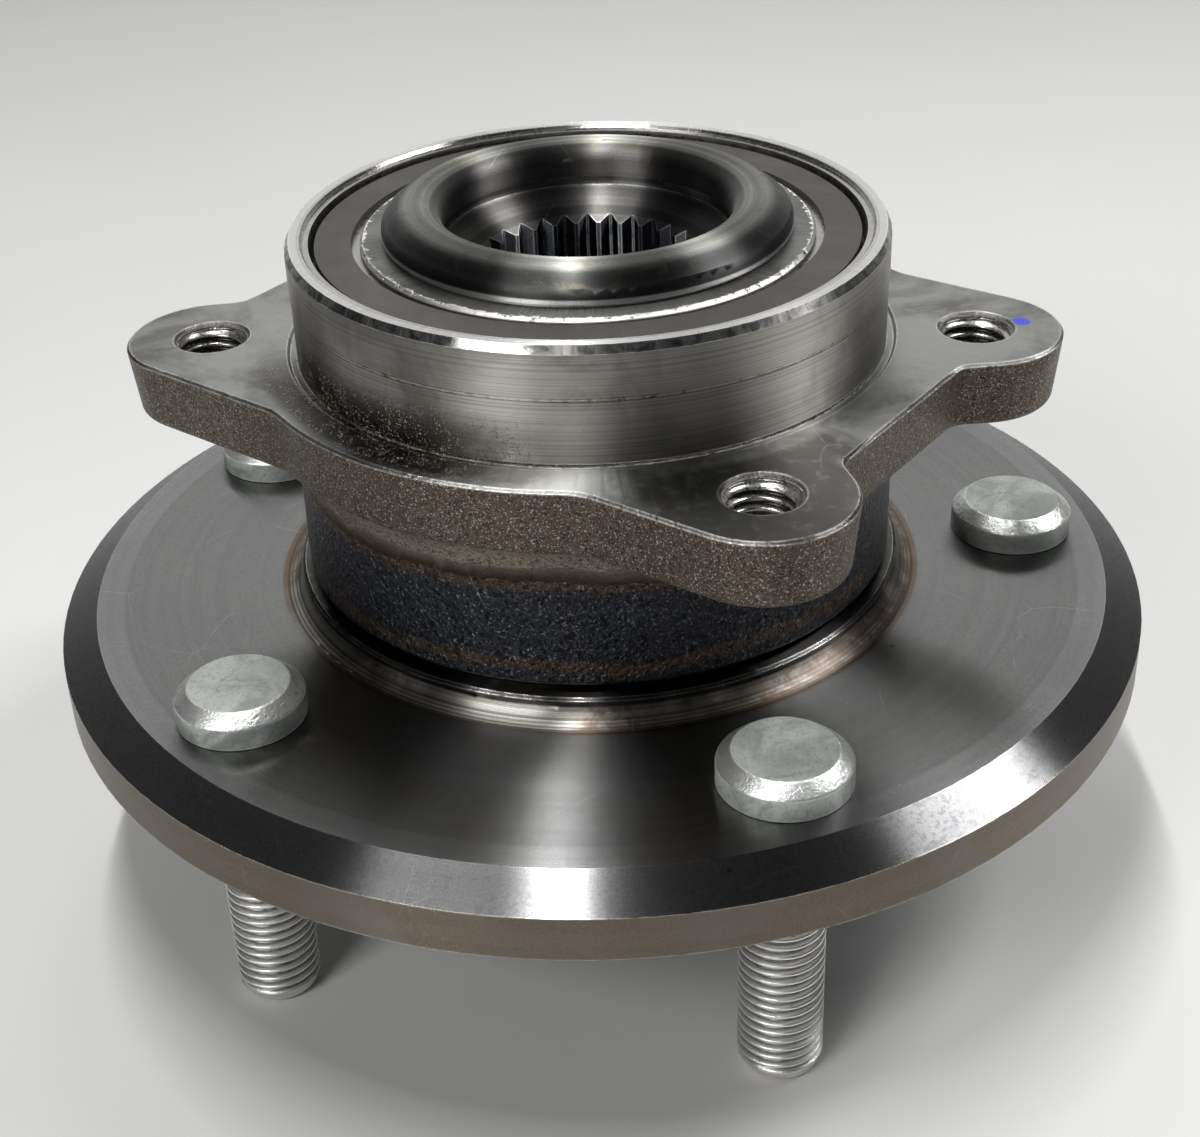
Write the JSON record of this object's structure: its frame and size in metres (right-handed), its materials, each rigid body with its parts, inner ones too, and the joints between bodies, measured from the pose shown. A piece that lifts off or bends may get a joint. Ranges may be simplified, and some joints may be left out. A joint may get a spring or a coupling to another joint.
{
  "type": "wheel hub bearing",
  "caption": "Flanged wheel hub turning on two rows of balls in a lugged outer ring, with wheel studs, a splined bore, a rolled lip and sealed ends.",
  "frame": {"origin": "on the axis, at the face that the brake disc and wheel bolt against", "axes": "+Z along the axis towards the knuckle, away from the wheel; the studs point to -Z; +X is 5 degrees on from the first lug"},
  "size_m": [0.162, 0.162, 0.1055],
  "materials": {
    "hub_steel": "turned, satin",
    "ring_steel": "forged and blasted, with ground and turned seats",
    "race_steel": "ground",
    "ball_steel": "polished",
    "stud_coating": "matte zinc coating",
    "cage_polymer": "moulded glass-filled nylon",
    "seal_steel": "pressed sheet",
    "seal_rubber": "matte",
    "encoder_rubber": "matte"
  },
  "bodies": {
    "fixed_ring": {"outer_ring": "ring_steel", "outboard_seal_case": "seal_steel", "outboard_seal_lip": "seal_rubber", "inboard_seal_case": "seal_steel", "inboard_seal_lip": "seal_rubber"},
    "rotating_hub": {"wheel_hub": "hub_steel", "inner_ring": "race_steel", "wheel_stud_1": "stud_coating", "wheel_stud_2": "stud_coating", "wheel_stud_3": "stud_coating", "wheel_stud_4": "stud_coating", "wheel_stud_5": "stud_coating", "seal_slinger": "seal_steel", "encoder_ring": "encoder_rubber"},
    "outboard_cage": {"outboard_cage": "cage_polymer"},
    "outboard_ball_1": {"outboard_ball_1": "ball_steel"},
    "outboard_ball_2": {"outboard_ball_2": "ball_steel"},
    "outboard_ball_3": {"outboard_ball_3": "ball_steel"},
    "outboard_ball_4": {"outboard_ball_4": "ball_steel"},
    "outboard_ball_5": {"outboard_ball_5": "ball_steel"},
    "outboard_ball_6": {"outboard_ball_6": "ball_steel"},
    "outboard_ball_7": {"outboard_ball_7": "ball_steel"},
    "outboard_ball_8": {"outboard_ball_8": "ball_steel"},
    "outboard_ball_9": {"outboard_ball_9": "ball_steel"},
    "outboard_ball_10": {"outboard_ball_10": "ball_steel"},
    "outboard_ball_11": {"outboard_ball_11": "ball_steel"},
    "outboard_ball_12": {"outboard_ball_12": "ball_steel"},
    "outboard_ball_13": {"outboard_ball_13": "ball_steel"},
    "outboard_ball_14": {"outboard_ball_14": "ball_steel"},
    "inboard_cage": {"inboard_cage": "cage_polymer"},
    "inboard_ball_1": {"inboard_ball_1": "ball_steel"},
    "inboard_ball_2": {"inboard_ball_2": "ball_steel"},
    "inboard_ball_3": {"inboard_ball_3": "ball_steel"},
    "inboard_ball_4": {"inboard_ball_4": "ball_steel"},
    "inboard_ball_5": {"inboard_ball_5": "ball_steel"},
    "inboard_ball_6": {"inboard_ball_6": "ball_steel"},
    "inboard_ball_7": {"inboard_ball_7": "ball_steel"},
    "inboard_ball_8": {"inboard_ball_8": "ball_steel"},
    "inboard_ball_9": {"inboard_ball_9": "ball_steel"},
    "inboard_ball_10": {"inboard_ball_10": "ball_steel"},
    "inboard_ball_11": {"inboard_ball_11": "ball_steel"},
    "inboard_ball_12": {"inboard_ball_12": "ball_steel"},
    "inboard_ball_13": {"inboard_ball_13": "ball_steel"},
    "inboard_ball_14": {"inboard_ball_14": "ball_steel"}
  },
  "joints": [
    {"name": "hub_spin", "type": "hinge", "parent": "fixed_ring", "child": "rotating_hub", "pos_m": [0, 0, 0.0385], "axis": [0, 0, 1], "continuous": true},
    {"name": "outboard_cage_spin", "type": "hinge", "parent": "fixed_ring", "child": "outboard_cage", "pos_m": [0, 0, 0.028], "axis": [0, 0, 1], "continuous": true},
    {"name": "outboard_ball_1_spin", "type": "hinge", "parent": "outboard_cage", "child": "outboard_ball_1", "pos_m": [0.0332, 0, 0.028], "axis": [-0.6428, 0, 0.766], "continuous": true},
    {"name": "outboard_ball_2_spin", "type": "hinge", "parent": "outboard_cage", "child": "outboard_ball_2", "pos_m": [0.02991, 0.0144, 0.028], "axis": [-0.5791, -0.2789, 0.766], "continuous": true},
    {"name": "outboard_ball_3_spin", "type": "hinge", "parent": "outboard_cage", "child": "outboard_ball_3", "pos_m": [0.0207, 0.02596, 0.028], "axis": [-0.4008, -0.5026, 0.766], "continuous": true},
    {"name": "outboard_ball_4_spin", "type": "hinge", "parent": "outboard_cage", "child": "outboard_ball_4", "pos_m": [0.00739, 0.03237, 0.028], "axis": [-0.143, -0.6267, 0.766], "continuous": true},
    {"name": "outboard_ball_5_spin", "type": "hinge", "parent": "outboard_cage", "child": "outboard_ball_5", "pos_m": [-0.00739, 0.03237, 0.028], "axis": [0.143, -0.6267, 0.766], "continuous": true},
    {"name": "outboard_ball_6_spin", "type": "hinge", "parent": "outboard_cage", "child": "outboard_ball_6", "pos_m": [-0.0207, 0.02596, 0.028], "axis": [0.4008, -0.5026, 0.766], "continuous": true},
    {"name": "outboard_ball_7_spin", "type": "hinge", "parent": "outboard_cage", "child": "outboard_ball_7", "pos_m": [-0.02991, 0.0144, 0.028], "axis": [0.5791, -0.2789, 0.766], "continuous": true},
    {"name": "outboard_ball_8_spin", "type": "hinge", "parent": "outboard_cage", "child": "outboard_ball_8", "pos_m": [-0.0332, 0, 0.028], "axis": [0.6428, 0, 0.766], "continuous": true},
    {"name": "outboard_ball_9_spin", "type": "hinge", "parent": "outboard_cage", "child": "outboard_ball_9", "pos_m": [-0.02991, -0.0144, 0.028], "axis": [0.5791, 0.2789, 0.766], "continuous": true},
    {"name": "outboard_ball_10_spin", "type": "hinge", "parent": "outboard_cage", "child": "outboard_ball_10", "pos_m": [-0.0207, -0.02596, 0.028], "axis": [0.4008, 0.5026, 0.766], "continuous": true},
    {"name": "outboard_ball_11_spin", "type": "hinge", "parent": "outboard_cage", "child": "outboard_ball_11", "pos_m": [-0.00739, -0.03237, 0.028], "axis": [0.143, 0.6267, 0.766], "continuous": true},
    {"name": "outboard_ball_12_spin", "type": "hinge", "parent": "outboard_cage", "child": "outboard_ball_12", "pos_m": [0.00739, -0.03237, 0.028], "axis": [-0.143, 0.6267, 0.766], "continuous": true},
    {"name": "outboard_ball_13_spin", "type": "hinge", "parent": "outboard_cage", "child": "outboard_ball_13", "pos_m": [0.0207, -0.02596, 0.028], "axis": [-0.4008, 0.5026, 0.766], "continuous": true},
    {"name": "outboard_ball_14_spin", "type": "hinge", "parent": "outboard_cage", "child": "outboard_ball_14", "pos_m": [0.02991, -0.0144, 0.028], "axis": [-0.5791, 0.2789, 0.766], "continuous": true},
    {"name": "inboard_cage_spin", "type": "hinge", "parent": "fixed_ring", "child": "inboard_cage", "pos_m": [0, 0, 0.049], "axis": [0, 0, 1], "continuous": true},
    {"name": "inboard_ball_1_spin", "type": "hinge", "parent": "inboard_cage", "child": "inboard_ball_1", "pos_m": [0.03237, 0.00739, 0.049], "axis": [0.6267, 0.143, 0.766], "continuous": true},
    {"name": "inboard_ball_2_spin", "type": "hinge", "parent": "inboard_cage", "child": "inboard_ball_2", "pos_m": [0.02596, 0.0207, 0.049], "axis": [0.5026, 0.4008, 0.766], "continuous": true},
    {"name": "inboard_ball_3_spin", "type": "hinge", "parent": "inboard_cage", "child": "inboard_ball_3", "pos_m": [0.0144, 0.02991, 0.049], "axis": [0.2789, 0.5791, 0.766], "continuous": true},
    {"name": "inboard_ball_4_spin", "type": "hinge", "parent": "inboard_cage", "child": "inboard_ball_4", "pos_m": [0, 0.0332, 0.049], "axis": [0, 0.6428, 0.766], "continuous": true},
    {"name": "inboard_ball_5_spin", "type": "hinge", "parent": "inboard_cage", "child": "inboard_ball_5", "pos_m": [-0.0144, 0.02991, 0.049], "axis": [-0.2789, 0.5791, 0.766], "continuous": true},
    {"name": "inboard_ball_6_spin", "type": "hinge", "parent": "inboard_cage", "child": "inboard_ball_6", "pos_m": [-0.02596, 0.0207, 0.049], "axis": [-0.5026, 0.4008, 0.766], "continuous": true},
    {"name": "inboard_ball_7_spin", "type": "hinge", "parent": "inboard_cage", "child": "inboard_ball_7", "pos_m": [-0.03237, 0.00739, 0.049], "axis": [-0.6267, 0.143, 0.766], "continuous": true},
    {"name": "inboard_ball_8_spin", "type": "hinge", "parent": "inboard_cage", "child": "inboard_ball_8", "pos_m": [-0.03237, -0.00739, 0.049], "axis": [-0.6267, -0.143, 0.766], "continuous": true},
    {"name": "inboard_ball_9_spin", "type": "hinge", "parent": "inboard_cage", "child": "inboard_ball_9", "pos_m": [-0.02596, -0.0207, 0.049], "axis": [-0.5026, -0.4008, 0.766], "continuous": true},
    {"name": "inboard_ball_10_spin", "type": "hinge", "parent": "inboard_cage", "child": "inboard_ball_10", "pos_m": [-0.0144, -0.02991, 0.049], "axis": [-0.2789, -0.5791, 0.766], "continuous": true},
    {"name": "inboard_ball_11_spin", "type": "hinge", "parent": "inboard_cage", "child": "inboard_ball_11", "pos_m": [0, -0.0332, 0.049], "axis": [0, -0.6428, 0.766], "continuous": true},
    {"name": "inboard_ball_12_spin", "type": "hinge", "parent": "inboard_cage", "child": "inboard_ball_12", "pos_m": [0.0144, -0.02991, 0.049], "axis": [0.2789, -0.5791, 0.766], "continuous": true},
    {"name": "inboard_ball_13_spin", "type": "hinge", "parent": "inboard_cage", "child": "inboard_ball_13", "pos_m": [0.02596, -0.0207, 0.049], "axis": [0.5026, -0.4008, 0.766], "continuous": true},
    {"name": "inboard_ball_14_spin", "type": "hinge", "parent": "inboard_cage", "child": "inboard_ball_14", "pos_m": [0.03237, -0.00739, 0.049], "axis": [0.6267, -0.143, 0.766], "continuous": true}
  ],
  "couplings": [
    {"joint": "outboard_cage_spin", "follows": "hub_spin", "ratio": 0.4267},
    {"joint": "outboard_ball_1_spin", "follows": "hub_spin", "ratio": -2.558},
    {"joint": "outboard_ball_2_spin", "follows": "hub_spin", "ratio": -2.558},
    {"joint": "outboard_ball_3_spin", "follows": "hub_spin", "ratio": -2.558},
    {"joint": "outboard_ball_4_spin", "follows": "hub_spin", "ratio": -2.558},
    {"joint": "outboard_ball_5_spin", "follows": "hub_spin", "ratio": -2.558},
    {"joint": "outboard_ball_6_spin", "follows": "hub_spin", "ratio": -2.558},
    {"joint": "outboard_ball_7_spin", "follows": "hub_spin", "ratio": -2.558},
    {"joint": "outboard_ball_8_spin", "follows": "hub_spin", "ratio": -2.558},
    {"joint": "outboard_ball_9_spin", "follows": "hub_spin", "ratio": -2.558},
    {"joint": "outboard_ball_10_spin", "follows": "hub_spin", "ratio": -2.558},
    {"joint": "outboard_ball_11_spin", "follows": "hub_spin", "ratio": -2.558},
    {"joint": "outboard_ball_12_spin", "follows": "hub_spin", "ratio": -2.558},
    {"joint": "outboard_ball_13_spin", "follows": "hub_spin", "ratio": -2.558},
    {"joint": "outboard_ball_14_spin", "follows": "hub_spin", "ratio": -2.558},
    {"joint": "inboard_cage_spin", "follows": "hub_spin", "ratio": 0.4267},
    {"joint": "inboard_ball_1_spin", "follows": "hub_spin", "ratio": -2.558},
    {"joint": "inboard_ball_2_spin", "follows": "hub_spin", "ratio": -2.558},
    {"joint": "inboard_ball_3_spin", "follows": "hub_spin", "ratio": -2.558},
    {"joint": "inboard_ball_4_spin", "follows": "hub_spin", "ratio": -2.558},
    {"joint": "inboard_ball_5_spin", "follows": "hub_spin", "ratio": -2.558},
    {"joint": "inboard_ball_6_spin", "follows": "hub_spin", "ratio": -2.558},
    {"joint": "inboard_ball_7_spin", "follows": "hub_spin", "ratio": -2.558},
    {"joint": "inboard_ball_8_spin", "follows": "hub_spin", "ratio": -2.558},
    {"joint": "inboard_ball_9_spin", "follows": "hub_spin", "ratio": -2.558},
    {"joint": "inboard_ball_10_spin", "follows": "hub_spin", "ratio": -2.558},
    {"joint": "inboard_ball_11_spin", "follows": "hub_spin", "ratio": -2.558},
    {"joint": "inboard_ball_12_spin", "follows": "hub_spin", "ratio": -2.558},
    {"joint": "inboard_ball_13_spin", "follows": "hub_spin", "ratio": -2.558},
    {"joint": "inboard_ball_14_spin", "follows": "hub_spin", "ratio": -2.558}
  ]
}
